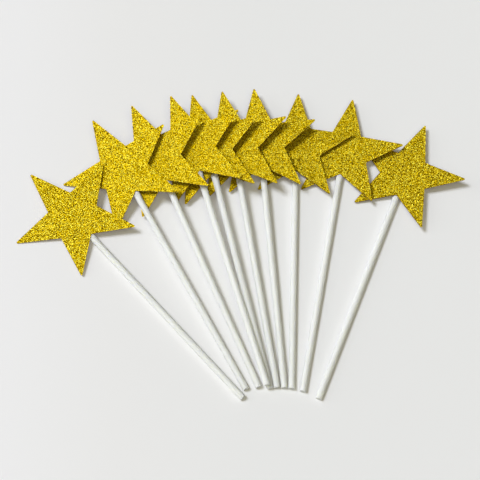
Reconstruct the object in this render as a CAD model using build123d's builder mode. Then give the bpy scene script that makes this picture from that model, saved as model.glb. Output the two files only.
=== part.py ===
from build123d import *
import cmath
import math
import os
from dataclasses import dataclass

# A set of ten glitter-star cake toppers on paper sticks, lying fanned out on a table.
# Each topper is a rolled paper stick, a card star with a glitter layer on its face, and the bead of
# glue that holds the two together. Topper 01 lies at the left on top of the pile, topper 10 at the
# right on the table. How each one leans on those below it is worked out from the sizes.
# Frame: +Z is up, the table is at Z = 0, +Y runs from the sticks' feet to the stars, and the origin
# lies under the middle of the fan. Lengths are in millimetres and angles in degrees.

# Paper stick: round where it shows, pressed a little flat where it is glued
stick_diameter = 3.2
stick_shown = 112.5  # from the foot to the star's lower notch
stick_glued = 17.5  # from that notch up behind the star
stick_press = 0.5  # taken off the thickness of the glued stretch
stick_blend = 3.0  # length over which round turns into flat
stick_rim = 0.3  # rounding of both cut ends

# Star: card with a glitter layer, cut through both
star_points = 5
star_reach = 30.0  # from the centre to the rounded end of a point
star_notch = 12.4  # from the centre to a notch between two points
star_tip = 0.5  # rounding of the points
card_thickness = 0.35
glitter_thickness = 0.12

# Glue bead along both sides of the stick and round its upper end
bead_width = 7.0
bead_depth = 1.5
bead_round = 0.6
bead_start = 4.0  # its lower end above the notch
bead_past = 2.5  # its upper end beyond the stick
bead_draft = 30

# Fan, from topper 01 to topper 10
headings = (-41.75, -28, -22.75, -16, -13, -8.5, -3.75, 3, 11.5, 22.5)  # clockwise from +Y
spins = (-2.5, -2, -0.5, -3, -1, -1, -0.5, 1.5, 0, 1.5)  # star turned on its stick, clockwise
foot_step_shares = (1.3, 1.8, 1.05, 0.5, 1.05, 1.05, 1.05, 1.65, 2.45)  # stick diameters sideways
foot_slip_shares = (0.7, -0.6, -0.4, -0.35, -0.1, -0.2, -0.2, -0.3, -0.6)  # stick diameters lengthways
pull_shares = (-1.4, -0.4, -0.2, -0.1, -0.2, -0.1, 0.4, 0.3, 0.9, 0.6)  # stick diameters glued further out
most_roll = 18
rest_gap = 0.12  # air where one topper rests on another

# Fineness of the search for how the toppers lean
sample_step = 0.5
sample_turn = 15
roll_step = 0.25
pitch_slack = 0.05

stick_radius = stick_diameter / 2
stick_length = stick_shown + stick_glued
pressed_thickness = stick_diameter - stick_press
pressed_flat = math.pi * stick_press / 2  # keeps the girth of the round stick
card_back = pressed_thickness / 2
card_face = card_back + card_thickness
star_face = card_face + glitter_thickness
half_step = math.pi / star_points
tip_angle = math.atan2(star_notch * math.sin(half_step), star_reach - star_notch * math.cos(half_step))
star_sharp = star_reach + star_tip / math.sin(tip_angle) - star_tip


def corner(index, reach):
    """Corner of the star seen from its centre, counted clockwise from the top point."""
    return cmath.rect(star_notch if index % 2 else reach, -index * half_step)


@dataclass
class Topper:
    """How one topper lies. Plan places and directions are complex numbers, x + y * 1j."""

    foot: complex
    along: complex
    spin: float
    shown: float  # of the stick, from the foot to the star's lower notch
    foot_height: float = 0.0  # of the stick's axis at its foot
    pitch: float = 0.0  # rise of the stick for each step along it
    roll: float = 0.0  # rise of the star for each step to its right

    @property
    def centre(self):
        """Distance of the star's centre from the foot."""
        return self.shown + star_notch

    def local(self, point):
        """Distance along the stick from its foot, and to the right of it."""
        seen = (point - self.foot) / self.along
        return seen.real, -seen.imag

    def covers(self, point):
        """True where the star lies over or under a plan point."""
        seen = (point - self.foot) / self.along - self.centre
        if abs(seen) > star_reach:
            return False
        turn = (cmath.phase(seen) + self.spin + half_step) % (2 * half_step) - half_step
        folded = cmath.rect(abs(seen), abs(turn))
        edge = cmath.rect(star_notch, half_step) - star_sharp
        return (edge.conjugate() * (folded - star_sharp)).imag > 0

    def outline(self):
        """Plan points along the star's edge."""
        steps = math.ceil(star_reach / sample_step)
        for index in range(2 * star_points):
            start, end = corner(index, star_sharp), corner(index + 1, star_sharp)
            for step in range(steps):
                seen = start + (end - start) * step / steps
                seen *= min(1, star_reach / abs(seen))
                yield self.foot + self.along * (self.centre + seen * cmath.rect(1, -self.spin))

    def stick_skin(self):
        """Plan points of the stick: distance along it, place, and height of its skin from its axis."""
        for step in range(math.ceil(stick_length / sample_step)):
            for turn in range(-90 + sample_turn, 90, sample_turn):
                across = stick_radius * math.sin(math.radians(turn))
                distance = step * sample_step
                place = self.foot + self.along * complex(distance, -across)
                yield distance, place, stick_radius * math.cos(math.radians(turn))

    def axis_height(self, distance):
        return self.foot_height + self.pitch * distance

    def face_height(self, point):
        """Height of the star's glitter face over a plan point."""
        distance, right = self.local(point)
        slant = math.hypot(1, self.pitch, self.roll)
        return self.axis_height(distance) + self.roll * right + star_face * slant

    def plane(self):
        """Plane through the stick's axis, with its origin at the foot and Y along the stick."""
        way = Vector(self.along.real, self.along.imag, self.pitch)
        side = Vector(self.along.imag, -self.along.real, self.roll)
        origin = Vector(self.foot.real, self.foot.imag, self.foot_height)
        up = side.cross(way)
        return Plane(origin=origin, x_dir=way.cross(up), z_dir=up)


def crossing_heights(topper, lower):
    """Distances along a topper's stick, and the axis height there that clears a lower topper's stick."""
    apart = stick_diameter + rest_gap
    for step in range(math.ceil(stick_length / sample_step)):
        distance = step * sample_step
        along, right = lower.local(topper.foot + topper.along * distance)
        if 0 <= along <= stick_length and abs(right) < apart:
            yield distance, lower.axis_height(along) + math.sqrt(apart**2 - right**2)


def heights_needed(topper, below):
    """Rows of distance along, distance right and the axis height that clears what lies there."""
    outline = list(topper.outline())
    rows = [(*topper.local(point), rest_gap - card_back) for point in outline]
    for lower in below:
        shared = [point for point in outline if lower.covers(point)]
        shared += [point for point in lower.outline() if topper.covers(point)]
        for point in shared:
            rows.append((*topper.local(point), lower.face_height(point) + rest_gap - card_back))
        for distance, point, skin in lower.stick_skin():
            if topper.covers(point):
                height = lower.axis_height(distance) + skin + rest_gap - card_back
                rows.append((*topper.local(point), height))
        for distance, point, skin in topper.stick_skin():
            if lower.covers(point):
                rows.append((distance, 0, lower.face_height(point) + skin + rest_gap))
        rows += [(distance, 0, height) for distance, height in crossing_heights(topper, lower)]
    return rows


def settle(topper, below):
    """Lay a topper down: its foot on the table or on a lower stick, its star leaning as far left as
    the stick stays down, so that the left points then touch the table."""
    crossings = [row for lower in below for row in crossing_heights(topper, lower)]
    under_foot = [height for distance, height in crossings if distance < stick_diameter]
    topper.foot_height = max([stick_radius, *under_foot])
    rows = [row for row in heights_needed(topper, below) if row[0]]
    leans = {}
    for step in range(round(most_roll / roll_step) + 1):
        roll = math.tan(math.radians(most_roll - step * roll_step))
        leans[roll] = max(
            0, *((height - roll * right - topper.foot_height) / distance for distance, right, height in rows)
        )
    lowest = min(leans.values()) + math.radians(pitch_slack)
    topper.roll = max(roll for roll, pitch in leans.items() if pitch <= lowest)
    topper.pitch = leans[topper.roll]


def fan():
    """The ten toppers, leaning on each other, with the origin under the middle of the fan."""
    toppers = []
    foot = 0j
    for index, (heading, spin, pull) in enumerate(zip(headings, spins, pull_shares)):
        along = cmath.rect(1, math.radians(90 - heading))
        toppers.append(Topper(foot, along, math.radians(spin), stick_shown + pull * stick_diameter))
        if index < len(foot_step_shares):
            step = complex(foot_slip_shares[index], -foot_step_shares[index])
            foot += along * step * stick_diameter
    for index in reversed(range(len(toppers))):
        settle(toppers[index], toppers[index + 1 :])
    corners = []
    for topper in toppers:
        lying = topper.plane()
        corners += [lying.from_local_coords(Vector(side, 0)) for side in (-stick_radius, stick_radius)]
        for index in range(0, 2 * star_points, 2):
            seen = corner(index, star_reach) * cmath.rect(1, -topper.spin)
            corners.append(lying.from_local_coords(Vector(-seen.imag, topper.centre + seen.real, star_face)))
    xs, ys = [point.X for point in corners], [point.Y for point in corners]
    middle = complex(min(xs) + max(xs), min(ys) + max(ys)) / 2
    for topper in toppers:
        topper.foot -= middle
    return toppers


def across(lying, distance):
    """Plane across the stick at a distance from its foot."""
    origin = lying.from_local_coords(Vector(0, distance))
    return Plane(origin=origin, x_dir=lying.x_dir, z_dir=lying.y_dir)


def behind(lying, distance, height):
    """Plane beside the star at a distance from the foot and a height from the stick's axis."""
    origin = lying.from_local_coords(Vector(0, distance, height))
    return Plane(origin=origin, x_dir=lying.x_dir, z_dir=lying.z_dir)


def star_layer(plane, spin, thickness):
    """One layer of the star, cut to its outline with rounded points."""
    corners = [corner(index, star_sharp) * cmath.rect(1, -spin) for index in range(2 * star_points)]
    with BuildPart() as layer:
        with BuildSketch(plane) as outline:
            with BuildLine():
                Polyline(*[(-seen.imag, seen.real) for seen in corners], close=True)
            make_face()
            fillet(outline.vertices().sort_by_distance((0, 0))[-star_points:], star_tip)
        extrude(amount=thickness)
    return layer


os.makedirs("parts", exist_ok=True)

for number, topper in enumerate(fan(), start=1):
    lying = topper.plane()
    pitch, roll = (math.degrees(math.atan(slope)) for slope in (topper.pitch, topper.roll))
    print(f"topper {number:02d} pitch {pitch:.2f} roll {roll:.2f}")

    round_length = topper.shown - stick_radius - stick_blend
    with BuildPart() as stick:
        with BuildSketch(across(lying, 0)):
            Circle(stick_radius)
        extrude(amount=round_length)
        with BuildSketch(across(lying, round_length)):
            Circle(stick_radius)
        with BuildSketch(across(lying, round_length + stick_blend)):
            SlotCenterToCenter(pressed_flat, pressed_thickness)
        loft()
        with BuildSketch(across(lying, round_length + stick_blend)):
            SlotCenterToCenter(pressed_flat, pressed_thickness)
        extrude(amount=stick_length - round_length - stick_blend)
        ends = stick.faces().filter_by(GeomType.PLANE).sort_by(Axis(lying.origin, lying.y_dir))
        fillet(ends[0].edges() + ends[-1].edges(), stick_rim)
    stick.part.label = f"stick_{number:02d}"
    export_step(stick.part, f"parts/stick_{number:02d}.step")

    card = star_layer(behind(lying, topper.centre, card_back), topper.spin, card_thickness)
    card.part.label = f"star_card_{number:02d}"
    export_step(card.part, f"parts/star_card_{number:02d}.step")

    glitter = star_layer(behind(lying, topper.centre, card_face), topper.spin, glitter_thickness)
    glitter.part.label = f"glitter_face_{number:02d}"
    export_step(glitter.part, f"parts/glitter_face_{number:02d}.step")

    bead_length = stick_length - topper.shown - bead_start + bead_past
    bead_middle = topper.shown + bead_start + bead_length / 2
    with BuildPart() as bead:
        with BuildSketch(-behind(lying, bead_middle, card_back)):
            SlotOverall(bead_length, bead_width, rotation=90)
        extrude(amount=bead_depth, taper=bead_draft)
        lowest = bead.faces().filter_by(GeomType.PLANE).sort_by(Axis(lying.origin, -lying.z_dir))[-1]
        fillet(lowest.edges(), bead_round)
        add(stick.part, mode=Mode.SUBTRACT)
    bead.part.label = f"glue_bead_{number:02d}"
    export_step(bead.part, f"parts/glue_bead_{number:02d}.step")
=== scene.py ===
import math
import random

import bmesh
import bpy
from mathutils import Matrix, Vector


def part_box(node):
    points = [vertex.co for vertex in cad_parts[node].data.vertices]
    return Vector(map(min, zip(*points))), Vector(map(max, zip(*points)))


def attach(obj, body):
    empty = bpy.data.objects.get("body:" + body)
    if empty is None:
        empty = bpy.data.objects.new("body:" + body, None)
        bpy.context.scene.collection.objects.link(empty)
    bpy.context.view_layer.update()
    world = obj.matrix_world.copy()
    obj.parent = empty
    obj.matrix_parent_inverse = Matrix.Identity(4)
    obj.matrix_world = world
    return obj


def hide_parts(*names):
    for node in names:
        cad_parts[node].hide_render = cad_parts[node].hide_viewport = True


# Ten glitter-star cake toppers on rolled paper sticks, fanned out on a pale table.
# Lengths are in metres, in the frame of the solids.
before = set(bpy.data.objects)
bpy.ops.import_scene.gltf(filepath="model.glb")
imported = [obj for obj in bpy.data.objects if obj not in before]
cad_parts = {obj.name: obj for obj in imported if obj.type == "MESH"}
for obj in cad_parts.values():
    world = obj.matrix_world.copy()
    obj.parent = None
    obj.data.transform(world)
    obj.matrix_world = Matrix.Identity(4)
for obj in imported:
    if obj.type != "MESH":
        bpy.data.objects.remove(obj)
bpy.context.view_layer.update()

TOPPERS = range(1, 11)
MM = 0.001
MERGE = 0.002 * MM
FLAT_WITHIN = math.radians(0.5)
QUARTER_TURN = math.radians(90)

# Rolled paper stick, with the sizes of its solid
STICK_RADIUS = 1.6 * MM
STICK_LENGTH = 130 * MM
STICK_BLEND = 3 * MM  # run from the round stretch to the pressed one
STICK_RIM = 0.3 * MM
STICK_PRESS = 0.5 * MM  # taken off the thickness of the pressed stretch
PRESSED_RADIUS = STICK_RADIUS - STICK_PRESS / 2
PRESSED_SHIFT = math.pi * STICK_PRESS / 4  # half the flat, which keeps the girth of the round stick
PRESSED_EARLY = STICK_RADIUS  # how far below the star's notch that stretch starts
STAR_NOTCH = 12.4 * MM  # from the star's middle to a notch between two points
CARD_THICKNESS = 0.35 * MM
GLITTER_THICKNESS = 0.12 * MM
STAR_FACE = PRESSED_RADIUS + CARD_THICKNESS + GLITTER_THICKNESS  # up from the stick's axis
LAP = 0.04 * MM  # step at the paper's outer edge
LAP_TURN = math.radians(100)  # how far below the right side that edge lies
PAPER = 0.11 * MM  # one layer of the roll
LAYER_DIP = 0.05 * MM  # how far the edge of each layer stands back at the cut foot
LAYER_RISE = 0.3  # share of a layer over which its edge comes forward again
ROLL_SIDES = 48
RIM_STEPS = 4
CORE_RADIUS = 0.2 * MM
CORE_DEPTH = STICK_RADIUS  # how far the hollow of the roll goes in at the foot

# Glitter bed on the star's face
STAR_POINTS = 5
FACING_UP = 0.9  # least Z of a normal of the flat face
FLAKE_BED = 0.45 * MM  # width of the cells that the face is cut into
BED_TURNS = (0, 60, 120)  # headings of the cuts, in degrees
BED_OFFSET = 0.37  # share of a cell by which the cuts miss the star's middle
BED_SLIVER = 0.06 * MM  # cells narrower than this are closed up
BED_DEPTH = 0.05 * MM  # how deep the flakes sink into the layer
BED_SHIFT = 0.08 * MM  # how far they stray sideways

# Finishes
FLAKE = 0.27 * MM  # width of one flake
FLAKE_TILT = 0.72  # how much of a flake's lean shows
FLAKE_ROUGHNESS = 0.54  # of the glossiest flake
FLAKE_DULLING = 0.14  # how much rougher the dullest one is
PAPER_FIBRE = 0.25 * MM
FIBRE_STRETCH = (1.0, 0.12, 1.0)  # draws the fibres out along the stick
PAPER_MOTTLE = 9 * MM
PAPER_GLOW = 2.6 * MM  # how far light spreads inside the stick
CARD_TOOTH = 0.2 * MM
CARD_CLOUD = 5 * MM
GLUE_RIPPLE = 2.2 * MM
GLUE_GLOW = 1.5 * MM

# Table, light and camera
TABLE_HALF = 40
TABLE_CLOUD = 0.6
# Painted light on the table: a glow seen by the camera and in glosses, brighter at the window's side
PAINTED_GLOW_MIDDLE = 0.5  # place of the table's middle on the ramp of its painted glow
PAINTED_GLOW_PER_METRE = 2.5
EYE_RISE = math.radians(66.03)
EYE_SIDE = math.radians(16.45)
EYE_DISTANCE = 845 * MM
EYE_LENS = 130.07
EYE_SENSOR = 36
AIM = Vector((-2.585 * MM, 1.092 * MM, 0))


def merged(node):
    """Copy of a solid's mesh with its loose triangles joined and its flat faces made whole."""
    shell = bmesh.new()
    shell.from_mesh(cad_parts[node].data)
    bmesh.ops.remove_doubles(shell, verts=shell.verts[:], dist=MERGE)
    bmesh.ops.dissolve_limit(shell, angle_limit=FLAT_WITHIN, verts=shell.verts[:], edges=shell.edges[:])
    return shell


def frame_of(x, y, z, place):
    """Matrix that carries a piece made at the origin to its place."""
    turn = Matrix((x, y, z)).transposed().to_4x4()
    return Matrix.Translation(place) @ turn


def finished(name, shell, finish, topper, node):
    """Object from a bmesh, riding on its topper in place of a solid."""
    mesh = bpy.data.meshes.new(name)
    shell.to_mesh(mesh)
    shell.free()
    mesh.materials.append(finish)
    piece = bpy.data.objects.new(name, mesh)
    bpy.context.scene.collection.objects.link(piece)
    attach(piece, f"topper_{topper:02d}")
    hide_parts(node)


class Socket:
    """A node's output. Sums on it add Math nodes to its finish."""

    def __init__(self, finish, socket):
        self.finish = finish
        self.socket = socket

    def out(self, name):
        """Another output of the same node."""
        return Socket(self.finish, self.socket.node.outputs[name])

    def worked(self, operation, first, second):
        """Result of a Math node on two values."""
        return self.finish.node("ShaderNodeMath", {"operation": operation}, {0: first, 1: second})

    def __add__(self, other):
        return self.worked("ADD", self, other)

    def __radd__(self, other):
        return self.worked("ADD", other, self)

    def __mul__(self, other):
        return self.worked("MULTIPLY", self, other)

    def __rmul__(self, other):
        return self.worked("MULTIPLY", other, self)


class Finish:
    """A procedural material, or the room's light, and the one method that adds nodes to it."""

    def __init__(self, name, shelf=bpy.data.materials, surface="Principled BSDF", **settings):
        self.material = shelf.new(name)
        self.material.use_nodes = True
        self.tree = self.material.node_tree
        self.surface = self.tree.nodes[surface]
        self.feed(self.surface, settings)

    def feed(self, node, inputs):
        """Set or link a node's inputs."""
        for name, value in inputs.items():
            socket = node.inputs[name]
            if isinstance(value, Socket):
                self.tree.links.new(value.socket, socket)
            else:
                socket.default_value = value

    def node(self, kind, settings, inputs, output=0):
        """Add a node with its settings and inputs, and give one of its outputs."""
        made = self.tree.nodes.new(kind)
        for name, value in settings.items():
            if name == "stops":
                ramp = made.color_ramp
                while len(ramp.elements) < len(value):
                    ramp.elements.new(1)
                for element, (position, colour) in zip(ramp.elements, value):
                    element.position = position
                    element.color = (*colour, 1)
            else:
                setattr(made, name, value)
        self.feed(made, inputs)
        return Socket(self, made.outputs[output])

    def place(self):
        """Where a point of the surface lies."""
        return self.node("ShaderNodeTexCoord", {}, {}, "Object")

    def noise(self, vector, grain, detail=2.0):
        """Cloudy noise from 0 to 1, with a grain of that width."""
        return self.node("ShaderNodeTexNoise", {}, {"Vector": vector, "Scale": 1 / grain, "Detail": detail})

    def mix(self, share, first, second):
        """Colour between two colours."""
        return self.node("ShaderNodeMix", {"data_type": "RGBA"}, {0: share, 6: first, 7: second}, 2)

    def ramp(self, share, stops):
        """Colour on a ramp of stops."""
        return self.node("ShaderNodeValToRGB", {"stops": stops}, {"Fac": share})

    def vector(self, operation, first, second, output=0):
        """Result of a Vector Math node on two vectors or colours."""
        return self.node("ShaderNodeVectorMath", {"operation": operation}, {0: first, 1: second}, output)

    def bump(self, height, strength, distance):
        """Normal of a surface raised by a height."""
        raised = {"Height": height, "Strength": strength, "Distance": distance}
        return self.node("ShaderNodeBump", {}, raised)


def gold_glitter():
    """Gold flakes in a clear binder: each flake has its own tint, gloss and tilt."""
    gold = Finish("gold_glitter", Metallic=1.0)
    place = gold.place()
    flake = gold.node("ShaderNodeTexVoronoi", {}, {"Vector": place, "Scale": 1 / FLAKE}, "Color")
    draws = gold.node("ShaderNodeSeparateColor", {}, {"Color": flake})
    tints = (
        (0.0, (0.06, 0.022, 0.0)),
        (0.3, (0.47, 0.285, 0.001)),
        (0.75, (0.95, 0.69, 0.002)),
        (1.0, (1.0, 0.96, 0.12)),
    )
    tint = gold.ramp(draws, tints)
    aside = gold.vector("SUBTRACT", place, flake.out("Position"))
    lean = gold.vector("SUBTRACT", flake, (0.5, 0.5, 0.5))
    height = gold.vector("DOT_PRODUCT", aside, lean, "Value")
    gold.feed(
        gold.surface,
        {
            "Base Color": tint,
            "Roughness": FLAKE_ROUGHNESS + FLAKE_DULLING * draws.out("Green"),
            "Normal": gold.bump(height, strength=FLAKE_TILT, distance=1.0),
        },
    )
    return gold.material


def rolled_paper():
    """White paper of the sticks: fine fibres along the stick and a faint warm mottle."""
    paper = Finish("rolled_paper", Roughness=0.62)
    along = paper.node("ShaderNodeAttribute", {"attribute_name": "stick_place"}, {}, "Vector")
    fibres = paper.noise(paper.vector("MULTIPLY", along, FIBRE_STRETCH), PAPER_FIBRE, 4)
    mottle = paper.noise(along, PAPER_MOTTLE)
    white = paper.mix(mottle, (0.801, 0.801, 0.777, 1), (0.772, 0.772, 0.738, 1))
    paper.feed(
        paper.surface,
        {
            "Base Color": paper.mix(fibres, white, (0.743, 0.743, 0.704, 1)),
            "Subsurface Weight": 1.0,
            "Subsurface Radius": (1.0, 1.0, 0.9),
            "Subsurface Scale": PAPER_GLOW,
            "Normal": paper.bump(fibres, strength=0.25, distance=0.05 * MM),
        },
    )
    return paper.material


def dyed_card():
    """Brown dyed card of the stars: pulp mottle with a fine tooth."""
    card = Finish("dyed_card", Roughness=0.8)
    place = card.place()
    tooth = card.noise(place, CARD_TOOTH, 4)
    clouds = card.noise(place, CARD_CLOUD, 3)
    pulp = card.mix(clouds, (0.27, 0.155, 0.04, 1), (0.23, 0.13, 0.03, 1))
    card.feed(
        card.surface,
        {
            "Base Color": card.mix(tooth, pulp, (0.19, 0.105, 0.025, 1)),
            "Normal": card.bump(tooth, strength=0.35, distance=0.04 * MM),
        },
    )
    return card.material


def set_glue():
    """Hot glue that has set: milky and waxy, with soft ripples."""
    glue = Finish("set_glue", Roughness=0.3)
    ripples = glue.noise(glue.place(), GLUE_RIPPLE)
    glue.feed(
        glue.surface,
        {
            "Base Color": glue.mix(ripples, (0.80, 0.76, 0.62, 1), (0.70, 0.64, 0.46, 1)),
            "Subsurface Weight": 0.3,
            "Subsurface Scale": GLUE_GLOW,
            "Normal": glue.bump(ripples, strength=0.5, distance=0.4 * MM),
        },
    )
    return glue.material


GOLD = gold_glitter()
PAPER_WHITE = rolled_paper()
CARD = dyed_card()
GLUE = set_glue()


def star_frame(number):
    """Where a topper's star lies: Z out of its face, Y from its lowest notch to its middle."""
    shell = merged(f"glitter_face_{number:02d}")
    upward = [face for face in shell.faces if face.normal.z > 0]
    star = max(upward, key=lambda face: face.calc_area())
    centre = sum((vert.co for vert in star.verts), Vector()) / len(star.verts)
    notches = sorted(star.verts, key=lambda vert: (vert.co - centre).length)[:STAR_POINTS]
    lowest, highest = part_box(f"stick_{number:02d}")
    foot_left = centre.x > (lowest.x + highest.x) / 2
    foot = Vector((lowest.x if foot_left else highest.x, lowest.y, lowest.z))
    notch = min(notches, key=lambda vert: (vert.co - foot).length)
    out = star.normal.copy()
    up = (centre - notch.co).normalized()
    shell.free()
    return frame_of(up.cross(out), up, out, centre)


def stick_frame(number):
    """Where a topper's stick lies, with the origin at its foot, Y along it and Z out of the star's face,
    and how much of it shows below the star's notch."""
    star = star_frame(number)
    behind = star @ Vector((0, 0, -STAR_FACE))
    shell = merged(f"stick_{number:02d}")
    caps = sorted(shell.faces, key=lambda face: len(face.verts))[-2:]
    foot_cap = max(caps, key=lambda face: (face.calc_center_median() - behind).length)
    foot = foot_cap.calc_center_median()
    shell.free()
    along = (behind - foot).normalized()
    out = star.to_3x3() @ Vector((0, 0, 1))
    return frame_of(along.cross(out), along, out, foot), (behind - foot).length - STAR_NOTCH


def flake_bed():
    """Star layer at the origin, its face cut into small cells all over."""
    bed = merged("glitter_face_01")
    bmesh.ops.transform(bed, matrix=star_frame(1).inverted(), verts=bed.verts[:])
    reach = max(vert.co.length for vert in bed.verts)
    rows = math.ceil(reach / FLAKE_BED)
    for turn in BED_TURNS:
        heading = Matrix.Rotation(math.radians(turn), 3, "Z") @ Vector((1, 0, 0))
        for row in range(-rows, rows + 1):
            cells = [face for face in bed.faces if face.normal.z > FACING_UP]
            edges = {edge for cell in cells for edge in cell.edges}
            verts = {vert for cell in cells for vert in cell.verts}
            bmesh.ops.bisect_plane(
                bed,
                geom=[*verts, *edges, *cells],
                dist=MERGE,
                plane_co=heading * (row + BED_OFFSET) * FLAKE_BED,
                plane_no=heading,
            )
    bmesh.ops.remove_doubles(bed, verts=bed.verts[:], dist=BED_SLIVER)
    return bed


def lay_glitter():
    """Glitter faces: the flake bed laid on each star, its flakes sunk and strayed by chance."""
    bed = flake_bed()
    for number in TOPPERS:
        chance = random.Random(number)
        shell = bed.copy()
        cells = [face for face in shell.faces if face.normal.z > FACING_UP]
        for vert in shell.verts:
            if all(face.normal.z > FACING_UP for face in vert.link_faces):
                stray = Vector((chance.uniform(-1, 1), chance.uniform(-1, 1))) * BED_SHIFT
                vert.co += Vector((stray.x, stray.y, -chance.random() * BED_DEPTH))
        bmesh.ops.triangulate(shell, faces=cells)
        bmesh.ops.transform(shell, matrix=star_frame(number), verts=shell.verts[:])
        finished(f"glitter_{number:02d}", shell, GOLD, number, f"glitter_face_{number:02d}")
    bed.free()


def rolled_stick(shown):
    """Paper stick at the origin, foot first along Y: a roll with its lap edge along the underside."""
    roll = bmesh.new()
    turn = roll.verts.layers.float.new("turn")
    place = roll.verts.layers.float_vector.new("stick_place")
    bmesh.ops.create_circle(roll, segments=ROLL_SIDES, radius=STICK_RADIUS)
    bmesh.ops.rotate(roll, verts=roll.verts[:], matrix=Matrix.Rotation(QUARTER_TURN, 3, "X"))
    for vert in roll.verts:
        vert[turn] = (math.atan2(vert.co.z, vert.co.x) + LAP_TURN) % math.tau / math.tau

    def shape(verts, distance, inset, step, pressed=False):
        """Bend a ring to the stick's outline at a distance from the foot."""
        for vert in verts:
            angle = vert[turn] * math.tau - LAP_TURN
            reach = (PRESSED_RADIUS if pressed else STICK_RADIUS - step * vert[turn]) - inset
            side = math.copysign(PRESSED_SHIFT, math.cos(angle)) if pressed else 0
            vert.co = (side + reach * math.cos(angle), distance, reach * math.sin(angle))

    def next_ring(edges, *outline, **how):
        """Pull a new ring out of the last one and bend it to its own outline."""
        made = bmesh.ops.extrude_edge_only(roll, edges=edges)["geom"]
        shape([item for item in made if isinstance(item, bmesh.types.BMVert)], *outline, **how)
        return [item for item in made if isinstance(item, bmesh.types.BMEdge)]

    # Foot: the rounded rim, the edges of the layers and the hollow core
    shape(roll.verts, STICK_RIM, 0, LAP)
    collar = roll.edges[:]
    edges = collar
    for step in range(1, RIM_STEPS + 1):
        swing = QUARTER_TURN * step / RIM_STEPS
        set_back = STICK_RIM * (1 - math.sin(swing))
        edges = next_ring(edges, set_back, STICK_RIM * (1 - math.cos(swing)), LAP)
    for layer in range(1, int((STICK_RADIUS - STICK_RIM - CORE_RADIUS) / PAPER)):
        edges = next_ring(edges, LAYER_DIP, STICK_RIM + PAPER * (layer - LAYER_RISE), PAPER)
        edges = next_ring(edges, 0, STICK_RIM + PAPER * layer, PAPER)
    edges = next_ring(edges, CORE_DEPTH, STICK_RADIUS - CORE_RADIUS, 0)
    bmesh.ops.contextual_create(roll, geom=edges)

    # Length: the round stretch, then the pressed one behind the star
    pressed_from = shown - PRESSED_EARLY
    edges = next_ring(collar, pressed_from - STICK_BLEND, 0, LAP)
    edges = next_ring(edges, pressed_from, 0, 0, pressed=True)
    edges = next_ring(edges, STICK_LENGTH - STICK_RIM, 0, 0, pressed=True)
    edges = next_ring(edges, STICK_LENGTH, STICK_RIM, 0, pressed=True)
    bmesh.ops.contextual_create(roll, geom=edges)
    bmesh.ops.recalc_face_normals(roll, faces=roll.faces[:])
    for vert in roll.verts:
        vert[place] = vert.co
    for face in roll.faces:
        face.smooth = len(face.verts) < ROLL_SIDES
    return roll


def lay_sticks():
    """Paper sticks: a roll for each topper, laid where its solid lies."""
    for number in TOPPERS:
        lying, shown = stick_frame(number)
        roll = rolled_stick(shown)
        bmesh.ops.transform(roll, matrix=lying, verts=roll.verts[:])
        finished(f"paper_stick_{number:02d}", roll, PAPER_WHITE, number, f"stick_{number:02d}")


def finish_solids():
    """Cards and glue beads: the solids themselves, with finishes of their own."""
    for number in TOPPERS:
        for node, finish in (("star_card", CARD), ("glue_bead", GLUE)):
            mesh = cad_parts[f"{node}_{number:02d}"].data
            mesh.materials.clear()
            mesh.materials.append(finish)


lay_glitter()
lay_sticks()
finish_solids()

# Pale table. Seen by the camera or in a gloss, it carries a painted glow: painted light that lightens its
# shadows and is strongest at the window's side at the left
table = Finish("pale_table", Roughness=0.7)
place = table.place()
clouds = table.noise(place, TABLE_CLOUD)
path = table.node("ShaderNodeLightPath", {}, {}, "Is Camera Ray")
seen = path + path.out("Is Glossy Ray") + path.out("Is Transmission Ray")
across = table.node("ShaderNodeSeparateXYZ", {}, {"Vector": place}, "X")
# Painted light: glow colours from the window's side at the left towards the right
painted_glow_stops = (
    (0.22, (0.126, 0.113, 0.126)),
    (0.34, (0.098, 0.084, 0.086)),
    (0.50, (0.081, 0.071, 0.073)),
)
painted_glow = table.ramp(PAINTED_GLOW_MIDDLE + PAINTED_GLOW_PER_METRE * across, painted_glow_stops)
table.feed(
    table.surface,
    {
        "Base Color": table.mix(clouds, (0.755, 0.755, 0.745, 1), (0.745, 0.745, 0.735, 1)),
        # Painted light: the glow shows only to the camera and in glosses, and lightens the table's shadows
        "Emission Color": table.mix(seen, (0, 0, 0, 1), painted_glow),
        "Emission Strength": 1.0,
    },
)
table_top = bmesh.new()
bmesh.ops.create_grid(table_top, x_segments=1, y_segments=1, size=TABLE_HALF)
table_mesh = bpy.data.meshes.new("table_top")
table_top.to_mesh(table_mesh)
table_top.free()
table_mesh.materials.append(table.material)
table_piece = bpy.data.objects.new("table_top", table_mesh)
bpy.context.scene.collection.objects.link(table_piece)

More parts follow.
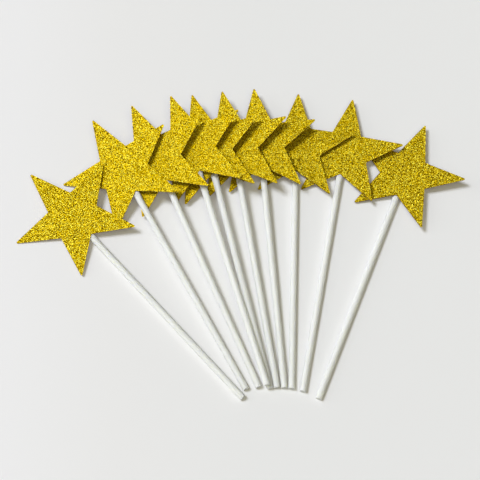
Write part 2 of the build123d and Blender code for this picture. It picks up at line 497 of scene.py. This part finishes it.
# The window stands at the left with a pale wall round it, and a warm white screen beside the camera
# fills the shadows. Each lamp has the way towards it, its colour, its strength and its spread in degrees
lamps = (
    ("window", (-0.53, 0.115, 0.84), (0.97, 1.01, 1.13), 2.29, 18),
    ("wall", (-0.9, 0.05, 0.42), (1.0, 1.0, 1.0), 0.6, 40),
    ("screen", (-0.03, -0.40, 0.915), (0.99, 0.96, 0.58), 0.69, 50),
)
for name, towards, colour, strength, spread in lamps:
    lamp = bpy.data.lights.new(name, "SUN")
    lamp.color = colour
    lamp.energy = strength
    lamp.angle = math.radians(spread)
    lamp_piece = bpy.data.objects.new(name, lamp)
    lamp_piece.rotation_euler = Vector(towards).to_track_quat("Z", "Y").to_euler()
    bpy.context.scene.collection.objects.link(lamp_piece)

# Pale walls stand round the table up to a low height, under a dim ceiling
room = Finish("room", bpy.data.worlds, "Background", Strength=1.0)
outlook = room.node("ShaderNodeTexCoord", {}, {}, "Generated")
height = room.node("ShaderNodeSeparateXYZ", {}, {"Vector": outlook}, "Z")
wall_stops = (
    (0.13, (0.78, 0.78, 0.765)),
    (0.18, (0.05, 0.048, 0.041)),
)
room.feed(room.surface, {"Color": room.ramp(height, wall_stops)})
bpy.context.scene.world = room.material

# Camera fitted to the fan: seen from the front and above, turned so that the fan stays upright
look = Vector((
    math.cos(EYE_RISE) * math.sin(EYE_SIDE),
    math.cos(EYE_RISE) * math.cos(EYE_SIDE),
    -math.sin(EYE_RISE),
))
level = Vector((math.cos(EYE_SIDE), -math.sin(EYE_SIDE), 0))
rise = level.cross(look)
right = math.cos(EYE_SIDE) * level + math.sin(EYE_SIDE) * rise
above = -math.sin(EYE_SIDE) * level + math.cos(EYE_SIDE) * rise
eye = bpy.data.cameras.new("eye")
eye.lens = EYE_LENS
eye.sensor_width = EYE_SENSOR
eye_piece = bpy.data.objects.new("eye", eye)
eye_piece.matrix_world = frame_of(right, above, -look, AIM - look * EYE_DISTANCE)
bpy.context.scene.collection.objects.link(eye_piece)
bpy.context.scene.camera = eye_piece
bpy.context.scene.view_settings.view_transform = "Standard"
